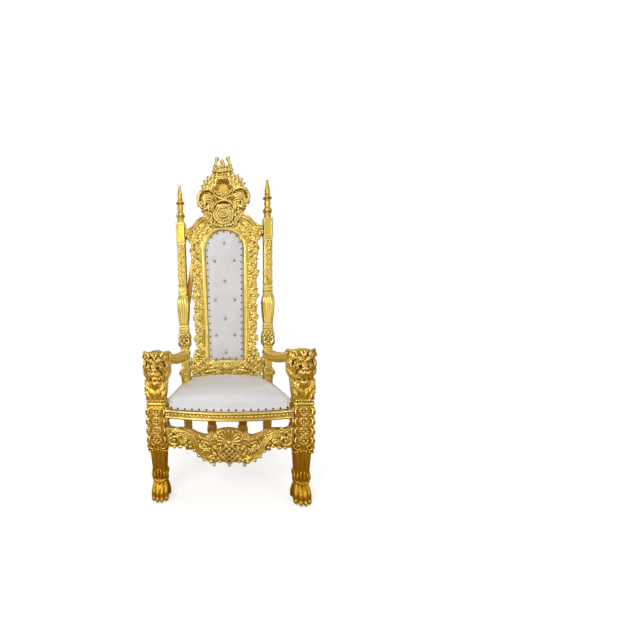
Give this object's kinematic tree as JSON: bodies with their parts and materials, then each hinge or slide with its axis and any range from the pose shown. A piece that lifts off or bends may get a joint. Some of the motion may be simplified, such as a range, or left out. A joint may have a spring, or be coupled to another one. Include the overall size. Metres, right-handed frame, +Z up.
{
  "type": "throne",
  "caption": "High-backed gilded ceremonial throne with lion-head arms, turned finials, a carved crest and apron, and white button-tufted upholstery.",
  "frame": {"origin": "middle of the bounding box's footprint, on the floor", "axes": "+Z up, -Y the way the sitter faces, +X to the right of someone who faces the throne"},
  "size_m": [0.8322, 0.8042, 1.8713],
  "materials": {
    "gilded_wood": "bright gold leaf over carved hardwood, glossy, brown in the hollows",
    "white_leather": "smooth white upholstery leatherette, satin",
    "crystal": "faceted clear crystal buttons"
  },
  "bodies": {
    "root": {"front_leg_left": "gilded_wood", "front_leg_right": "gilded_wood", "back_post_left": "gilded_wood", "back_post_right": "gilded_wood", "finial_left": "gilded_wood", "finial_right": "gilded_wood", "arm_left": "gilded_wood", "arm_right": "gilded_wood", "inner_rear_leg_left": "gilded_wood", "inner_rear_leg_right": "gilded_wood", "seat_rail_front": "gilded_wood", "seat_rail_rear": "gilded_wood", "seat_rail_left": "gilded_wood", "seat_rail_right": "gilded_wood", "apron_front": "gilded_wood", "back_frame": "gilded_wood", "crest": "gilded_wood", "back_brace": "gilded_wood", "seat_cushion": "white_leather", "back_cushion": "white_leather", "back_lining": "white_leather", "button_01": "crystal", "button_02": "crystal", "button_03": "crystal", "button_04": "crystal", "button_05": "crystal", "button_06": "crystal", "button_07": "crystal", "button_08": "crystal", "button_09": "crystal", "button_10": "crystal"}
  },
  "joints": []
}
